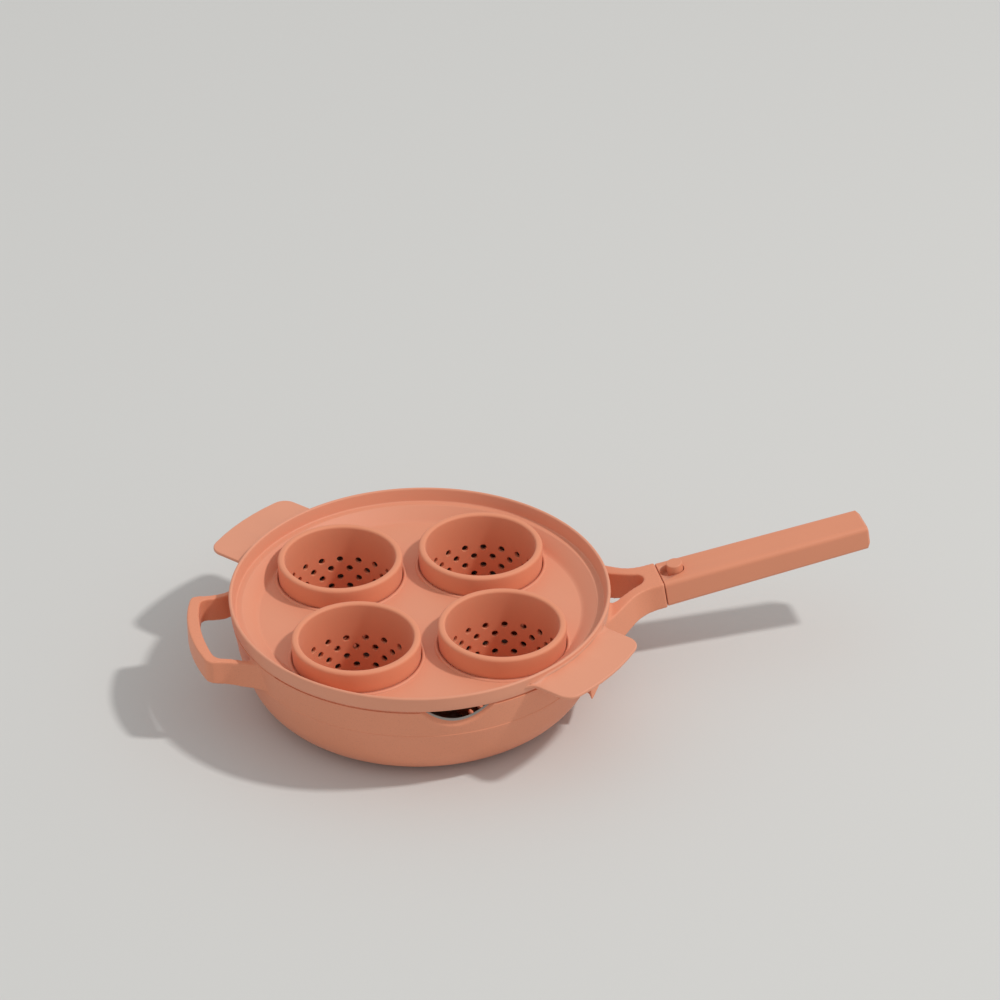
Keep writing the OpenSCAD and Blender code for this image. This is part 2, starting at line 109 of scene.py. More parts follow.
# %% A finish: one Principled shader and the nodes that feed it
class Finish:
    """A procedural material. Constants go on the shader's sockets, and patterns are fed to it."""

    def __init__(self, name, constants):
        self.material = bpy.data.materials.new(name)
        self.material.use_nodes = True
        self.nodes = self.material.node_tree.nodes
        self.links = self.material.node_tree.links
        self.shader = self.nodes["Principled BSDF"]
        for socket, value in constants.items():
            self.shader.inputs[socket].default_value = value
        self.place = self.node("ShaderNodeTexCoord", {}, {}, "Object")

    def node(self, kind, settings, inputs, output=0):
        made = self.nodes.new(kind)
        for name, value in settings.items():
            setattr(made, name, value)
        for name, value in inputs.items():
            self.set(made.inputs[name], value)
        return Amount(self, made.outputs[output])

    def set(self, socket, value):
        if isinstance(value, Amount):
            self.links.new(value.socket, socket)
        else:
            socket.default_value = value

    def feed(self, name, value):
        self.set(self.shader.inputs[name], value)

    def noise(self, size_mm, detail=2.0):
        return self.node("ShaderNodeTexNoise", {},
                         {"Vector": self.place, "Scale": 1000 / size_mm, "Detail": detail,
                          "Roughness": 0.5})

    def shades(self, mask, dark, light):
        return self.node("ShaderNodeMix", {"data_type": "RGBA"},
                         {0: mask, 6: (*dark, 1), 7: (*light, 1)}, 2)

    def relief(self, height, depth_mm):
        bump = self.node("ShaderNodeBump", {},
                         {"Height": height, "Distance": depth_mm * MM, "Strength": 1.0}, "Normal")
        self.feed("Normal", bump)


# %% [markdown]
# ## The finishes
#
# Everything on this pan is one terracotta, in four surfaces. The casting has a sprayed coat with a
# fine orange-peel grain and faint speckles. The grip and the tray are smooth matte mouldings, and
# the cups are soft silicone with a powdery sheen. Inside, the pan has a warm grey non-stick coat.

# %% Terracotta, lighter and darker by a few percent, and a paler copy that is painted light
TERRACOTTA = (0.770, 0.286, 0.158)
# The paler terracotta is painted light: it stands in for the whitish look of lit top surfaces.
PAINTED_LIT_TERRACOTTA = (0.770, 0.318, 0.192)


def tint(factor, colour=TERRACOTTA):
    return tuple(factor * channel for channel in colour)


# %% The sprayed coat on the casting
def make_pan_coat():
    coat = Finish("pan_coat", {"Specular IOR Level": 0.5, "IOR": 1.5, "Sheen Weight": 0.06,
                               "Sheen Roughness": 0.5})
    peel = coat.noise(1.3, 3.0)
    speckle = coat.noise(0.9, 1.0)
    cloud = coat.noise(60, 2.0)
    dots = coat.node("ShaderNodeMapRange", {"clamp": True},
                     {0: speckle, 1: 0.56, 2: 0.70, 3: 0.0, 4: 1.0})
    shade = dots * 0.55 + cloud * 0.45
    coat.feed("Base Color", coat.shades(shade, tint(1.03), tint(0.90)))
    coat.feed("Roughness", 0.46 + peel * 0.14)
    coat.relief(peel + dots * 0.6, 0.045)
    return coat.material


PAN_COAT = make_pan_coat()


# %% The matte mouldings: tray and grip
def make_moulding(name, colour, grain_mm, depth_mm, roughness):
    moulding = Finish(name, {"Specular IOR Level": 0.5, "IOR": 1.5, "Sheen Weight": 0.06,
                             "Sheen Roughness": 0.5})
    grain = moulding.noise(grain_mm, 2.0)
    flow = moulding.noise(45, 2.0)
    moulding.feed("Base Color", moulding.shades(flow * 0.7 + grain * 0.3, tint(1.02, colour),
                                                tint(0.95, colour)))
    moulding.feed("Roughness", roughness + grain * 0.12)
    moulding.relief(grain, depth_mm)
    return moulding.material


# The tray takes the paler terracotta, a painted highlight for its lit tops rather than a colour of its
# own.
TRAY_COAT = make_moulding("tray_coat", PAINTED_LIT_TERRACOTTA, 0.7, 0.012, 0.50)
GRIP_COAT = make_moulding("grip_coat", tint(0.98), 0.9, 0.02, 0.46)


# %% The cups' silicone
def make_silicone():
    rubber = Finish("cup_silicone", {"Specular IOR Level": 0.45, "IOR": 1.45, "Sheen Weight": 0.08,
                                     "Sheen Roughness": 0.5})
    dust = rubber.noise(0.5, 2.0)
    flow = rubber.noise(30, 2.0)
    rubber.feed("Base Color", rubber.shades(flow * 0.7 + dust * 0.3, tint(1.04), tint(0.97)))
    rubber.feed("Roughness", 0.54 + dust * 0.14)
    rubber.relief(dust, 0.01)
    return rubber.material


SILICONE = make_silicone()


# %% The non-stick coat inside the pan
def make_inside_coat():
    coat = Finish("cooking_surface", {"Specular IOR Level": 0.5, "IOR": 1.5, "Coat Weight": 0.15})
    fleck = coat.noise(1.1, 2.0)
    flecks = coat.node("ShaderNodeMapRange", {"clamp": True},
                        {0: fleck, 1: 0.60, 2: 0.72, 3: 0.0, 4: 1.0})
    coat.feed("Base Color", coat.shades(flecks, (0.36, 0.355, 0.32), (0.27, 0.265, 0.24)))
    coat.feed("Roughness", 0.30 + fleck * 0.12)
    coat.relief(fleck, 0.02)
    return coat.material


INSIDE_COAT = make_inside_coat()


# %% Spun steel for the disc and the screw
def make_steel():
    steel = Finish("steel", {"Metallic": 1.0, "Anisotropic": 0.4})
    parts = steel.node("ShaderNodeSeparateXYZ", {}, {"Vector": steel.place}, "X")
    across = Amount(steel, parts.socket.node.outputs["Y"])
    radius = (parts * parts + across * across).do("SQRT", parts * parts + across * across)
    lines = steel.node("ShaderNodeTexNoise", {"noise_dimensions": "1D"},
                       {"W": radius, "Scale": 2500.0, "Detail": 3.0})
    patches = steel.noise(25, 3.0)
    steel.feed("Base Color", steel.shades(lines, (0.66, 0.65, 0.63), (0.50, 0.49, 0.48)))
    steel.feed("Roughness", 0.24 + lines * 0.12 + patches * 0.10)
    steel.relief(lines, 0.006)
    return steel.material


STEEL = make_steel()
print("finishes:", [m.name for m in (PAN_COAT, TRAY_COAT, GRIP_COAT, SILICONE, INSIDE_COAT, STEEL)])

# %% [markdown]
# ## Dressed copies of the CAD nodes
#
# A CAD node arrives as loose triangles and may not be changed. A copy of it can be: its doubles are
# merged, so that smooth shading works, and a Weighted Normal modifier keeps the large flats flat
# while the small roundings between them shade softly.

# %% Helpers for meshes
WELD = 0.002
SMOOTH_UNDER, CAD_SMOOTH_UNDER = 40, 32
FLAT_WITHIN, HARD_OVER = math.radians(0.3), math.radians(50)


def add_object(name, mesh):
    made = bpy.data.objects.new(name, mesh)
    scene.collection.objects.link(made)
    return made


def raw_mesh(name, points, faces):
    mesh = bpy.data.meshes.new(name)
    mesh.from_pydata([(x * MM, y * MM, z * MM) for x, y, z in points], [], faces)
    return add_object(name, mesh)


def mesh_from(name, points, faces):
    made = raw_mesh(name, points, faces)
    tidy(made, SMOOTH_UNDER)
    return made


def lathe_faces(columns, size):
    """Quads between each column of a turned form and the next, all the way round."""
    faces = []
    for column in range(columns):
        first, second = column * size, (column + 1) % columns * size
        faces += [(first + i, second + i, second + i + 1, first + i + 1) for i in range(size - 1)]
    return faces


def tidy(made, smooth_angle):
    form = bmesh.new()
    form.from_mesh(made.data)
    bmesh.ops.remove_doubles(form, verts=form.verts, dist=WELD * MM)
    bmesh.ops.recalc_face_normals(form, faces=form.faces)
    form.to_mesh(made.data)
    form.free()
    made.data.shade_smooth()
    made.data.set_sharp_from_angle(angle=math.radians(smooth_angle))


def bake_modifiers(made):
    """The object's mesh as its modifiers leave it, with no modifier left on it."""
    done = bpy.data.meshes.new_from_object(made.evaluated_get(bpy.context.evaluated_depsgraph_get()))
    made.modifiers.clear()
    old, made.data = made.data, done
    bpy.data.meshes.remove(old)
    return made


def copy_of(node, name):
    return add_object(name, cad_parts[node].data.copy())


def even_normals(made):
    weighted = made.modifiers.new("even normals", "WEIGHTED_NORMAL")
    weighted.keep_sharp = True
    weighted.weight = 80
    return bake_modifiers(made)


def paint(made, *materials):
    made.data.materials.clear()
    for material in materials:
        made.data.materials.append(material)


def count_triangles(made):
    return sum(len(face.vertices) - 2 for face in made.data.polygons)


def soften_edges(made, chosen, width_mm):
    """Rounds the hard outer edges that chosen(edge) picks, after its flat faces are made whole."""
    form = bmesh.new()
    form.from_mesh(made.data)
    inner = [edge for edge in form.edges if edge.is_manifold and chosen(edge)
             and edge.calc_face_angle() < FLAT_WITHIN]
    bmesh.ops.dissolve_edges(form, edges=inner, use_verts=False)
    hard = [edge for edge in form.edges if edge.is_manifold and edge.is_convex and chosen(edge)
            and edge.calc_face_angle() > HARD_OVER]
    bmesh.ops.bevel(form, geom=hard, offset=width_mm * MM, offset_type="OFFSET", segments=4, profile=0.5,
                    affect="EDGES", clamp_overlap=False)
    form.to_mesh(made.data)
    form.free()
    print(made.name, "softened edges:", len(hard))


# %% Tray, grip, disc and screw
EAR_FROM_R = 135.3


def dress(node, name, body, material, soft=None):
    piece = copy_of(node, name)
    tidy(piece, CAD_SMOOTH_UNDER)
    if soft:
        soften_edges(piece, *soft)
        tidy(piece, CAD_SMOOTH_UNDER)
    even_normals(piece)
    paint(piece, material)
    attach(piece, body)
    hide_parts(node)
    print(name, count_triangles(piece), "triangles")


def on_an_ear(edge):
    return min(math.hypot(*point.co[:2]) for point in edge.verts) > EAR_FROM_R * MM


dress("poacher_tray", "tray", "tray", TRAY_COAT, soft=(on_an_ear, 0.9))
dress("grip", "handle_grip", "pan", GRIP_COAT)
dress("base_disc", "steel_disc", "pan", STEEL)
dress("grip_screw", "handle_screw", "pan", STEEL)

# %% [markdown]
# ## The perforated cups
#
# Each cup is a round wall with four rows of holes, and two rings of holes in its floor. A hole sits
# in a tile: a piece of wall with one softened hole. Geometry Nodes turn each tile round the axis as
# often as the row needs, and welding the tiles gives one closed cup with no Boolean scars.

# %% The cup's outline, as on the CAD model, in mm below its lip
LIP_R, MOUTH_R = 45.0, 39.8
DEPTH, WALL = 60.0, 2.6
BAND_H, BAND_R, BODY_R = 19.0, 44.557, 42.157
FOOT_R, WALL_IN_R = 41.457, 38.857
CORNER = 5.0
LIP_OUT, LIP_IN = 2.2, 1.8
HOLE_R, ROW_HOLES, ROWS = 2.4, 18, 4
FIRST_ROW, ROW_PITCH, FLOOR_PITCH = 28.0, 7.6, 9.0
STEP = 5.0


def corner_reach(z, radius):
    """How far a corner of that radius reaches from its centre at height z."""
    low = min(0.0, z + DEPTH - CORNER)
    return math.sqrt(max(0.0, radius * radius - low * low))


def wall_out(z):
    if z > CORNER - DEPTH:
        return BODY_R + (FOOT_R - BODY_R) * (-BAND_H - z) / (DEPTH - CORNER - BAND_H)
    return FOOT_R - CORNER + corner_reach(z, CORNER)


def wall_in(z):
    if z > CORNER - DEPTH:
        return MOUTH_R + (WALL_IN_R - MOUTH_R) * (-LIP_IN - z) / (DEPTH - CORNER - LIP_IN)
    return WALL_IN_R - CORNER + WALL + corner_reach(z, CORNER - WALL)


# %% A tile with one softened hole
SOFT = [(0.9, 0.0), (0.28, 0.0), (0.1, 0.05), (0.02, 0.15), (0.0, 0.3)]


def tile_faces(loops):
    """Quads between one loop of points and the next."""
    faces = []
    for ring in range(len(loops) - 1):
        first, second = loops[ring], loops[ring + 1]
        for i in range(len(first)):
            j = (i + 1) % len(first)
            faces.append((first[i], first[j], second[j], second[i]))
    return faces


def hole_tile(name, frame_points, hole_point):
    """frame_points: the tile's edge as (inside, outside) pairs. hole_point(i, out, spread, sunk)."""
    points, loops = [], []

    def add(loop):
        points.extend(loop)
        loops.append(list(range(len(points) - len(loop), len(points))))

    count = len(frame_points)
    add([pair[0] for pair in frame_points])
    for spread, sunk in SOFT:
        add([hole_point(i / count, False, spread, sunk) for i in range(count)])
    for spread, sunk in reversed(SOFT):
        add([hole_point(i / count, True, spread, sunk) for i in range(count)])
    add([pair[1] for pair in frame_points])
    return raw_mesh(name, points, tile_faces(loops))


def polar(radius, degrees, z):
    return (radius * math.cos(math.radians(degrees)), radius * math.sin(math.radians(degrees)), z)


def edge_walk(columns, rows):
    """Points round the unit square from its upper right corner, so many along each side."""
    walk = [(1 - 2 * i / columns, 1) for i in range(columns)]
    walk += [(-1, 1 - 2 * i / rows) for i in range(rows)]
    walk += [(-1 + 2 * i / columns, -1) for i in range(columns)]
    return walk + [(1, -1 + 2 * i / rows) for i in range(rows)]


def turn_of(share, columns, rows):
    """The direction from the hole for a step of that walk, in degrees."""
    steps = share * 2 * (columns + rows)
    angle = 45.0
    for length in (columns, rows, columns, rows):
        if steps <= length:
            return angle + 90 * steps / length
        steps -= length
        angle += 90
    return angle


def wall_tile(row):
    middle = -FIRST_ROW - row * ROW_PITCH
    half_turn = 180 / ROW_HOLES
    columns, rows = int(2 * half_turn / STEP), 4

    def place(radius_at, x, z):
        radius = radius_at(z)
        return (math.sqrt(radius * radius - x * x), x, z)

    def hole_point(share, out, spread, sunk):
        angle = math.radians(turn_of(share, columns, rows))
        reach = HOLE_R + spread
        x, z = reach * math.cos(angle), middle + reach * math.sin(angle)
        first = place(wall_out if out else wall_in, x, z)
        return (first[0] + (-sunk if out else sunk), first[1], first[2])

    edge = []
    for across, up in edge_walk(columns, rows):
        z = middle + up * ROW_PITCH / 2
        edge.append((polar(wall_in(z), across * half_turn, z), polar(wall_out(z), across * half_turn, z)))
    return hole_tile(f"wall_tile_{row}", edge, hole_point)


def floor_tile(ring):
    half_turn = 180 / (6 * ring)
    columns, rows = int(2 * half_turn / STEP), 4

    def hole_point(share, out, spread, sunk):
        angle = math.radians(turn_of(share, columns, rows))
        reach = HOLE_R + spread
        z = -DEPTH + sunk if out else -DEPTH + WALL - sunk
        return (ring * FLOOR_PITCH + reach * math.sin(angle), reach * math.cos(angle), z)

    edge = []
    for across, up in edge_walk(columns, rows):
        radius = (ring + up / 2) * FLOOR_PITCH
        edge.append((polar(radius, across * half_turn, WALL - DEPTH),
                     polar(radius, across * half_turn, -DEPTH)))
    return hole_tile(f"floor_tile_{ring}", edge, hole_point)


def middle_tile():
    columns = int(360 / STEP)

    def hole_point(share, out, spread, sunk):
        z = -DEPTH + sunk if out else -DEPTH + WALL - sunk
        return polar(HOLE_R + spread, 360 * share, z)

    edge = [(polar(FLOOR_PITCH / 2, i * STEP, WALL - DEPTH), polar(FLOOR_PITCH / 2, i * STEP, -DEPTH))
            for i in range(columns)]
    return hole_tile("middle_tile", edge, hole_point)


# %% The plain parts of the cup as one narrow slice
def bend(cx, cz, radius, start, end, steps):
    return [(cx + radius * math.cos(math.radians(start + (end - start) * i / steps)),
             cz + radius * math.sin(math.radians(start + (end - start) * i / steps)))
            for i in range(steps + 1)]


ROWS_TOP = -FIRST_ROW + ROW_PITCH / 2
ROWS_FOOT = ROWS_TOP - ROWS * ROW_PITCH
FLOOR_RINGS = 2
floor_edge = (FLOOR_RINGS + 0.5) * FLOOR_PITCH


def corner_run(radius_at, centre_r, radius, level):
    """From the foot of the hole rows round the corner to the floor's ring of holes."""
    sink = math.degrees(math.asin((CORNER - DEPTH - ROWS_FOOT) / radius))
    run = bend(centre_r, CORNER - DEPTH, radius, -sink, -90, 6)
    run[0] = (radius_at(ROWS_FOOT), ROWS_FOOT)
    return run + [(centre_r - 6, level), (floor_edge, level)]


upper_run = ([(wall_out(ROWS_TOP), ROWS_TOP), (BODY_R, -BAND_H - 0.3), (BODY_R + 0.3, -BAND_H),
              (BAND_R - 0.7, -BAND_H)]
             + bend(BAND_R - 0.6, -BAND_H + 0.6, 0.6, -80, 0, 3)
             + [(LIP_R - 0.3, -12.0), (LIP_R - 0.12, -6.0)]
             + bend(LIP_R - LIP_OUT, -LIP_OUT, LIP_OUT, 0, 90, 8)
             + bend(MOUTH_R + LIP_IN, -LIP_IN, LIP_IN, 90, 180, 7)
             + [(wall_in(-8.0), -8.0), (wall_in(-15.0), -15.0), (wall_in(ROWS_TOP), ROWS_TOP)])
inner_run = corner_run(wall_in, WALL_IN_R - CORNER + WALL, CORNER - WALL, WALL - DEPTH)
outer_run = corner_run(wall_out, FOOT_R - CORNER, CORNER, -DEPTH)


def slice_tile(name, runs, columns=4):
    points, faces = [], []
    for run in runs:
        base = len(points)
        for c in range(columns + 1):
            points += [polar(radius, (c - columns / 2) * STEP, z) for radius, z in run]
        for c in range(columns):
            for i in range(len(run) - 1):
                a = base + c * len(run) + i
                faces.append((a, a + 1, a + 1 + len(run), a + len(run)))
    return raw_mesh(name, points, faces)


tiles = [(slice_tile("plain_slice", [upper_run, inner_run, outer_run]), ROW_HOLES, 0.0)]
tiles += [(wall_tile(row), ROW_HOLES, row * 180 / ROW_HOLES) for row in range(ROWS)]
tiles += [(floor_tile(1), 6, 0.0), (floor_tile(2), 12, 0.0), (middle_tile(), 1, 0.0)]
print("tiles:", [(tile.name, count) for tile, count, start in tiles])

# %% A Geometry Nodes tree that sets tiles in rings
def ring_tree(rings):
    tree = bpy.data.node_groups.new("rings of tiles", "GeometryNodeTree")
    face = tree.interface
    face.new_socket("Geometry", in_out="OUTPUT", socket_type="NodeSocketGeometry")
    face.new_socket("Weld distance", in_out="INPUT", socket_type="NodeSocketFloat")
    face.new_socket("Finish", in_out="INPUT", socket_type="NodeSocketMaterial")
    for number in range(rings):
        face.new_socket(f"Tile {number}", in_out="INPUT", socket_type="NodeSocketObject")
        face.new_socket(f"Count {number}", in_out="INPUT", socket_type="NodeSocketInt")
        face.new_socket(f"Start {number}", in_out="INPUT", socket_type="NodeSocketFloat")
    given = tree.nodes.new("NodeGroupInput").outputs
    join = tree.nodes.new("GeometryNodeJoinGeometry")

    def add(kind, inputs, output=0, **settings):
        made = tree.nodes.new(kind)
        for name, value in settings.items():
            setattr(made, name, value)
        for name, value in inputs.items():
            if isinstance(value, bpy.types.NodeSocket):
                tree.links.new(value, made.inputs[name])
            else:
                made.inputs[name].default_value = value
        return made.outputs[output]

    index = add("GeometryNodeInputIndex", {})
    for number in range(rings):
        count, start = given[f"Count {number}"], given[f"Start {number}"]
        step = add("ShaderNodeMath", {0: math.tau, 1: count}, operation="DIVIDE")
        turn = add("ShaderNodeMath", {0: index, 1: step, 2: start}, operation="MULTIPLY_ADD")
        axis = add("ShaderNodeCombineXYZ", {"Z": turn})
        points = add("GeometryNodePoints", {"Count": count})
        source = add("GeometryNodeObjectInfo", {"Object": given[f"Tile {number}"]}, "Geometry")
        placed = add("GeometryNodeInstanceOnPoints",
                     {"Points": points, "Instance": source,
                      "Rotation": add("FunctionNodeEulerToRotation", {0: axis})})
        tree.links.new(placed, join.inputs[0])
    whole = add("GeometryNodeRealizeInstances", {0: join.outputs[0]})
    welded = add("GeometryNodeMergeByDistance", {"Geometry": whole, "Distance": given["Weld distance"]})
    smooth = add("GeometryNodeSetShadeSmooth", {"Geometry": welded})
    finished = add("GeometryNodeSetMaterial", {"Geometry": smooth, "Material": given["Finish"]})
    tree.links.new(finished, tree.nodes.new("NodeGroupOutput").inputs[0])
    return tree


def set_input(modifier, name, value):
    """A modifier's input is set by its socket's identifier, not by its name."""
    for item in modifier.node_group.interface.items_tree:
        if item.name == name and item.in_out == "INPUT":
            modifier[item.identifier] = value


# %% One cup, then four of them in their seats
def build_cup():
    blank = add_object("cup_blank", bpy.data.meshes.new("cup_blank"))
    rings = blank.modifiers.new("rings", "NODES")
    rings.node_group = ring_tree(len(tiles))
    set_input(rings, "Weld distance", 0.01 * MM)
    set_input(rings, "Finish", SILICONE)
    for number, (tile, count, start) in enumerate(tiles):
        set_input(rings, f"Tile {number}", tile)
        set_input(rings, f"Count {number}", count)
        set_input(rings, f"Start {number}", math.radians(start))
    bake_modifiers(blank)
    tidy(blank, 50)
    return blank


CUP_AXIS_R, CUP_TOP, CUP_TURN = 72.3, 78.5, 41.25
HOLE_TURNS = (13.8, 10.0, 9.8, 4.0)
cup = build_cup()
for number, hole_turn in enumerate(HOLE_TURNS):
    piece = add_object(f"egg_cup_{number + 1}_shell", cup.data.copy())
    turn = math.radians(CUP_TURN + 90 * number)
    top = Vector((CUP_AXIS_R * math.cos(turn), CUP_AXIS_R * math.sin(turn), CUP_TOP)) * MM
    own_turn = Matrix.Rotation(turn + math.radians(hole_turn), 4, "Z")
    piece.data.transform(Matrix.Translation(top) @ own_turn)
    paint(piece, SILICONE)
    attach(piece, f"egg_cup_{number + 1}")
    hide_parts(f"cup_{number + 1}")
print("each cup:", count_triangles(cup), "triangles")
for spare in [cup] + [tile for tile, count, start in tiles]:
    bpy.data.objects.remove(spare)

# %% [markdown]
# ## The bowl
#
# The bowl is turned on a lathe, but its rim isn't round everywhere: two notches fall outwards.
# So each column of the mesh works out its own rim: the height of the scoop at that column, blended
# softly into the level rim, with both corners rounded.

# %% The bowl's sizes, as on the CAD model, in mm
RIM_R, RIM_Z, CAST_WALL = 134.0, 68.0, 4.0
UPPER_LEAN, LOWER_LEAN = math.radians(10), math.radians(14)
CREASE_Z, BEND_R = 45.0, 33.0
CREASE_R = RIM_R - (RIM_Z - CREASE_Z) * math.tan(UPPER_LEAN)
CAST_FOOT, CAST_FLOOR = 0.4, 5.4
DISC_R, DISC_TOP = 86.042, 1.6
RIM_IN_R = RIM_R - CAST_WALL / math.cos(UPPER_LEAN)
NOTCH_R, NOTCH_FALL, NOTCH_DEPTH = 46.0, math.radians(57.0), 9.9
NOTCH_START = RIM_IN_R - NOTCH_DEPTH * math.tan(UPPER_LEAN)
SCOOP_SOFT, RIM_ROUNDING, GROOVE_FADE = 0.8, 1.3, 1.5
INSIDE_FROM = 0.66 * CAST_WALL

# beyond the CAD model: a fine step at the crease, as (height, how far it stands proud)
CREASE_RUN = [(35.0, 0.0), (CREASE_Z - 5, 0.15), (CREASE_Z - 0.25, 0.3), (CREASE_Z + 0.05, 0.26),
              (CREASE_Z + 0.35, 0.0)]


def bowl_bend(radius, level, inset):
    """The arc from the floor to the lower wall."""
    centre_z = level + radius
    slope = (centre_z - CREASE_Z) * math.sin(LOWER_LEAN)
    centre_r = CREASE_R + (slope - radius - inset) / math.cos(LOWER_LEAN)
    return bend(centre_r, centre_z, radius, -90, -math.degrees(LOWER_LEAN), 22)


def bowl_radius(z):
    if z > CREASE_Z:
        return RIM_R - (RIM_Z - z) * math.tan(UPPER_LEAN)
    return CREASE_R - (CREASE_Z - z) * math.tan(LOWER_LEAN)


# %% The rim of one column
def scoop_height(radius, turn):
    """Height of the rim at that radius, for a column turned so far from a notch's middle."""
    along, aside = radius * math.cos(turn), radius * math.sin(turn)
    if along < 0 or abs(aside) > NOTCH_R - 1:
        return RIM_Z
    rise = (NOTCH_R - math.sqrt(NOTCH_R ** 2 - aside ** 2)) / math.cos(NOTCH_FALL)
    scoop = RIM_Z - NOTCH_DEPTH + rise - (along - NOTCH_START) * math.tan(NOTCH_FALL)
    gap = (scoop - RIM_Z) / SCOOP_SOFT
    return RIM_Z + SCOOP_SOFT * (-math.log(1 + math.exp(-gap)) if gap > -30 else gap)


def meet(radius_at, turn):
    """Where a wall meets the rim's surface."""
    z = RIM_Z
    for _ in range(30):
        z = 0.5 * z + 0.5 * scoop_height(radius_at(z), turn)
    return (radius_at(z), z)


def inner_radius(z):
    return bowl_radius(z) - CAST_WALL / math.cos(UPPER_LEAN)


def softened(before, corner, after, reach, steps=6):
    """A corner drawn as a short curve that leaves before and after along their directions."""
    def towards(point):
        x, z = point[0] - corner[0], point[1] - corner[1]
        size = math.hypot(x, z)
        pull = min(reach, 0.45 * size) / size
        return (corner[0] + x * pull, corner[1] + z * pull)
    first, last = towards(before), towards(after)
    curve = []
    for i in range(steps + 1):
        t = i / steps
        curve.append(tuple((1 - t) ** 2 * first[k] + 2 * t * (1 - t) * corner[k] + t * t * last[k]
                           for k in (0, 1)))
    return curve


# beyond the CAD model: a groove in the rim's outer corner, for the dark line under the tray
GROOVE = [(bowl_radius(RIM_Z - 2.0), RIM_Z - 2.0), (bowl_radius(RIM_Z - 1.3), RIM_Z - 1.3),
          (bowl_radius(RIM_Z - 1.0) - 0.2, RIM_Z - 1.0), (RIM_R - 0.9, RIM_Z - 0.95),
          (RIM_R - 1.25, RIM_Z - 0.9), (RIM_R - 1.3, RIM_Z - 0.7), (RIM_R - 1.35, RIM_Z - 0.02)]


def rim_run(turn):
    out, back = meet(bowl_radius, turn), meet(inner_radius, turn)
    across = [out[0] + (back[0] - out[0]) * i / 8 for i in range(1, 8)]
    cap = [(r, scoop_height(r, turn)) for r in across]
    below_out = (bowl_radius(out[1] - 5), out[1] - 5)
    below_back = (inner_radius(back[1] - 5), back[1] - 5)
    corner = softened(below_out, out, cap[2], RIM_ROUNDING)
    level = max(0.0, 1 - (RIM_Z - out[1]) / GROOVE_FADE)
    corner = [tuple(level * groove + (1 - level) * plain for groove, plain in zip(*pair))
              for pair in zip(GROOVE, corner)]
    return corner + cap[2:5] + softened(cap[4], back, below_back, RIM_ROUNDING)


# %% Turn the bowl, with narrow columns across the notches
def column_angles():
    angles = []
    for start, end, steps in ((0, 76, 50), (76, 104, 70), (104, 256, 100), (256, 284, 70),
                              (284, 360, 50)):
        angles += [math.radians(start + (end - start) * i / steps) for i in range(steps)]
    return angles


BOWL_ANGLES = column_angles()
BOWL_COLUMNS = len(BOWL_ANGLES)


def wall_run(radius_at, top, shares):
    """Points of a wall at those shares of the way from the crease up to top."""
    return [(radius_at(z), z) for z in (CREASE_Z + (top - CREASE_Z) * share for share in shares)]


def build_bowl():
    points = []
    for angle in BOWL_ANGLES:
        turn = abs((angle % math.pi) - math.pi / 2)
        rim = rim_run(turn)
        outer_low = [(bowl_radius(z) + proud, z) for z, proud in CREASE_RUN]
        outer_top = wall_run(bowl_radius, rim[0][1], (0.35, 0.7, 0.9))
        inner_top = wall_run(inner_radius, rim[-1][1], (0.9, 0.7, 0.35, 0.0))
        run = ([(DISC_R, DISC_TOP), (DISC_R + 0.02, CAST_FOOT + 0.5), (DISC_R + 0.5, CAST_FOOT)]
               + bowl_bend(BEND_R, CAST_FOOT, 0) + outer_low + outer_top + rim + inner_top
               + bowl_bend(BEND_R - CAST_WALL, CAST_FLOOR, CAST_WALL)[::-1]
               + [(60.0, CAST_FLOOR), (30.0, CAST_FLOOR)])
        points += [(r * math.cos(angle), r * math.sin(angle), z) for r, z in run]
    size = len(run)
    faces = lathe_faces(BOWL_COLUMNS, size)
    for end, level in ((0, DISC_TOP), (size - 1, CAST_FLOOR)):
        points.append((0, 0, level))
        for column in range(BOWL_COLUMNS):
            first, second = column * size + end, (column + 1) % BOWL_COLUMNS * size + end
            faces.append((len(points) - 1, first, second))
    return mesh_from("pan_bowl", points, faces)


def is_inside(face):
    radius, z = math.hypot(*face.center[:2]) / MM, face.center[2] / MM
    return z > 4 and radius < bowl_radius(z) - INSIDE_FROM and face.normal[2] > -0.3


bowl = build_bowl()
paint(bowl, PAN_COAT, INSIDE_COAT)
for face in bowl.data.polygons:
    face.material_index = 1 if is_inside(face) else 0
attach(bowl, "pan")
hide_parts("pan_casting")
print("bowl:", count_triangles(bowl), "triangles")

# %% [markdown]
# ## The cast-on neck and loop
#
# A casting has no hard inside corners: metal flows into them. The neck and the loop are cut from
# the CAD casting with a thin skin of the wall they grow from, and remade in small voxels. Swelling
# the shape and shrinking it again fills the inside corners, and a little smoothing softens the rest.

# %% Cut a region from the casting
def solid_of_revolution(name, run, columns=256):
    points, size = [], len(run)
    for column in range(columns):
        angle = math.tau * column / columns
        points += [(r * math.cos(angle), r * math.sin(angle), z) for r, z in run]
    faces = lathe_faces(columns, size)
    faces.append([column * size for column in range(columns)])
    faces.append([column * size + size - 1 for column in range(columns)])
    return mesh_from(name, points, faces)


def box_block(name, low, high):
    points = [(x, y, z) for x in (low[0], high[0]) for y in (low[1], high[1]) for z in (low[2], high[2])]
    faces = [(0, 1, 3, 2), (4, 6, 7, 5), (0, 4, 5, 1), (2, 3, 7, 6), (0, 2, 6, 4), (1, 5, 7, 3)]
    return mesh_from(name, points, faces)


SKIN = 2.2
CORE_RUN = [(bowl_radius(z) - SKIN, z) for z in (-5, CREASE_Z, RIM_Z, RIM_Z + 10)]
core = solid_of_revolution("core", CORE_RUN)


def combine(made, other, operation):
    cut = made.modifiers.new("cut", "BOOLEAN")
    cut.operation, cut.solver, cut.object = operation, "EXACT", other
    return bake_modifiers(made)


def grow(made, distance_mm):
    swell = made.modifiers.new("grow", "DISPLACE")
    swell.mid_level, swell.strength = 0.0, distance_mm * MM
    return bake_modifiers(made)


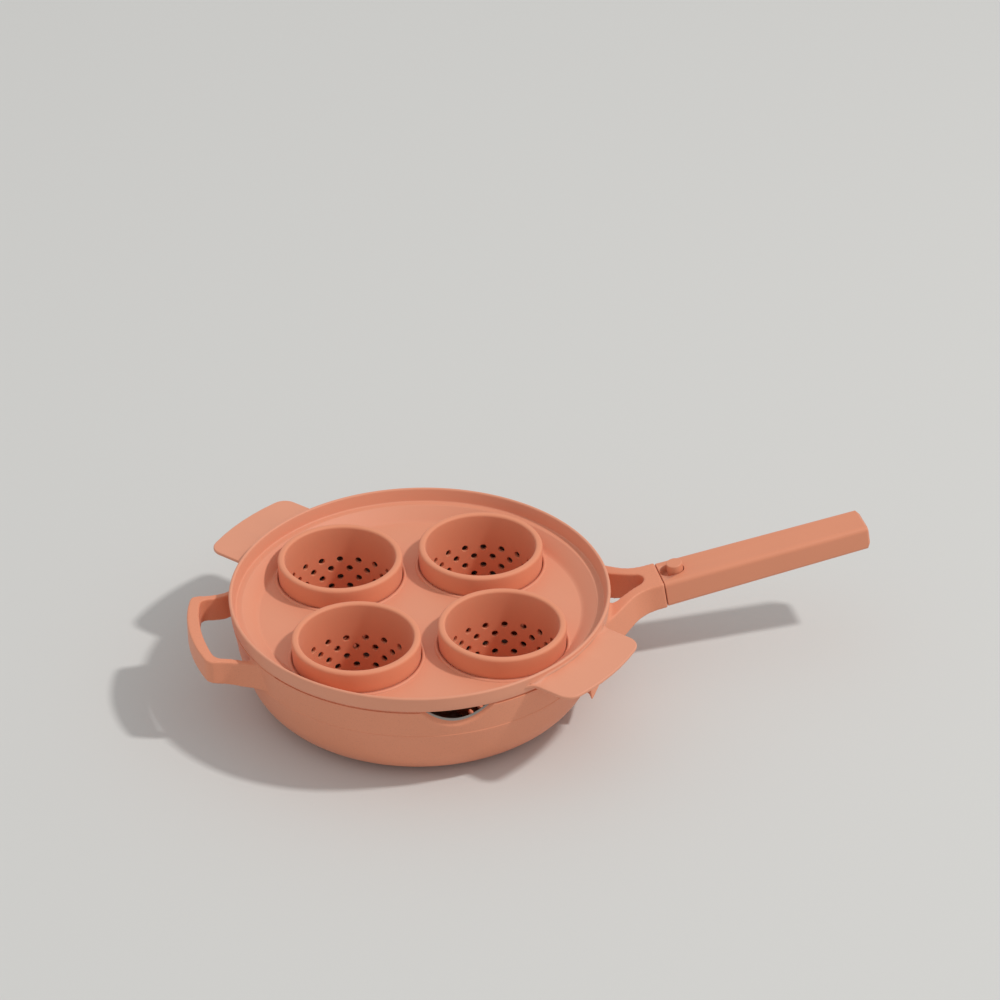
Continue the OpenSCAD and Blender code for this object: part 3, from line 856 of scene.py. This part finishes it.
def revoxel(made, voxel_mm):
    voxels = made.modifiers.new("voxels", "REMESH")
    voxels.mode, voxels.voxel_size, voxels.use_smooth_shade = "VOXEL", voxel_mm * MM, True
    return bake_modifiers(made)


def relax(made, times):
    smooth = made.modifiers.new("relax", "SMOOTH")
    smooth.factor, smooth.iterations = 0.5, times
    return bake_modifiers(made)


# %% Sink the skin of the wall into the bowl
SINK = 0.12


def sink_skin(made):
    for point in made.data.vertices:
        x, y, z = (c / MM for c in point.co)
        radius = math.hypot(x, y)
        lean = UPPER_LEAN if z > CREASE_Z else LOWER_LEAN
        proud = (radius - bowl_radius(z)) * math.cos(lean)
        pull = SINK * math.exp(-max(0.0, proud) / 0.1)
        scale = (radius - pull) / radius
        point.co = Vector((x * scale, y * scale, z)) * MM


def cast_on(name, low, high, voxel_mm, fillet_mm):
    piece = copy_of("pan_casting", name)
    tidy(piece, 40)
    region = box_block("region", low, high)
    combine(piece, region, "INTERSECT")
    combine(piece, core, "DIFFERENCE")
    bpy.data.objects.remove(region)
    revoxel(piece, voxel_mm)
    grow(piece, fillet_mm)
    revoxel(piece, voxel_mm)
    grow(piece, -fillet_mm)
    revoxel(piece, voxel_mm)
    relax(piece, 6)
    sink_skin(piece)
    piece.data.shade_smooth()
    paint(piece, PAN_COAT)
    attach(piece, "pan")
    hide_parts("pan_casting")
    print(name, count_triangles(piece), "triangles")


# the roots of the neck's arms run out to y = 83 mm on both sides, and the box takes them whole
cast_on("pan_neck", (98, -85, 20), (245, 85, RIM_Z + 0.5), 0.65, 2.6)
cast_on("pan_loop", (-170, -68, 38), (-100, 68, RIM_Z + 4), 0.6, 1.6)
bpy.data.objects.remove(core)

# %% [markdown]
# ## Floor and light
#
# The pan stands on a plain pale floor. One small round lamp stands to the right of the camera, 2.6 m
# from the pan and 53 degrees up. Its place was solved from the edges of the shadows in the photograph:
# those of the grip, the loop, the ears and the rim. A pale sky fills the shade, so the shadows stay
# soft grey.

# %% The floor
def make_floor():
    floor = mesh_from("floor", [(-4000, -4000, 0), (4000, -4000, 0), (4000, 4000, 0), (-4000, 4000, 0)],
                      [(0, 1, 2, 3)])
    plain = Finish("floor", {"Roughness": 0.85, "Specular IOR Level": 0.2,
                             "Base Color": (0.655, 0.655, 0.64, 1)})
    paint(floor, plain.material)


make_floor()

# %% The lamp and the sky
LAMP_AT = Vector((1466, -576, 2060)) * MM
lamp_data = bpy.data.lights.new("lamp", "POINT")
lamp_data.energy = 19
lamp_data.shadow_soft_size = 95 * MM
lamp_data.color = (1.0, 0.985, 0.96)
lamp_data.use_nodes = True
lamp_nodes = lamp_data.node_tree
falloff = lamp_nodes.nodes.new("ShaderNodeLightFalloff")
falloff.inputs["Strength"].default_value = 1.0
lamp_nodes.links.new(falloff.outputs["Constant"], lamp_nodes.nodes["Emission"].inputs["Strength"])
lamp = bpy.data.objects.new("lamp", lamp_data)
lamp.location = LAMP_AT
scene.collection.objects.link(lamp)

world = bpy.data.worlds.new("sky")
world.use_nodes = True
world.node_tree.nodes["Background"].inputs["Color"].default_value = (1.0, 1.0, 1.0, 1)
world.node_tree.nodes["Background"].inputs["Strength"].default_value = 0.58
scene.world = world
scene.view_settings.view_transform = "Standard"
